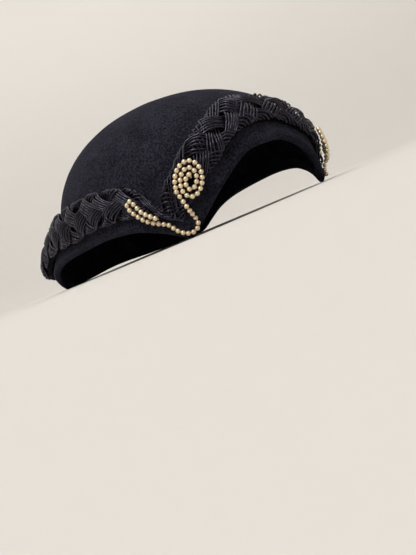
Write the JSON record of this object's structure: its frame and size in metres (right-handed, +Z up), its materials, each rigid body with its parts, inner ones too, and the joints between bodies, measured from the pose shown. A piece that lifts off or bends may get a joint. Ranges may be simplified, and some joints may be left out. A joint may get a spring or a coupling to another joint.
{
  "type": "capulet hat",
  "caption": "Small felt hat that arches over the brow to a point at each temple, with a wide plaited cord band and an oval bead rosette and bead string at each side.",
  "frame": {"origin": "bottom centre of the hat's box, where it rests on a table", "axes": "front of the hat faces -Y, the wearer's right is -X, +Z up through the crown"},
  "size_m": [0.173, 0.215, 0.0934],
  "materials": {
    "navy_felt": "matt wool felt",
    "navy_cord": "satin rayon cord, plaited flat",
    "champagne_bead": "glossy imitation pearl"
  },
  "bodies": {
    "root": {"felt_cap": "navy_felt", "braid_band": "navy_cord", "pearl_rosette_right": "champagne_bead", "pearl_rosette_left": "champagne_bead", "pearl_string_right": "champagne_bead", "pearl_string_left": "champagne_bead"}
  },
  "joints": []
}
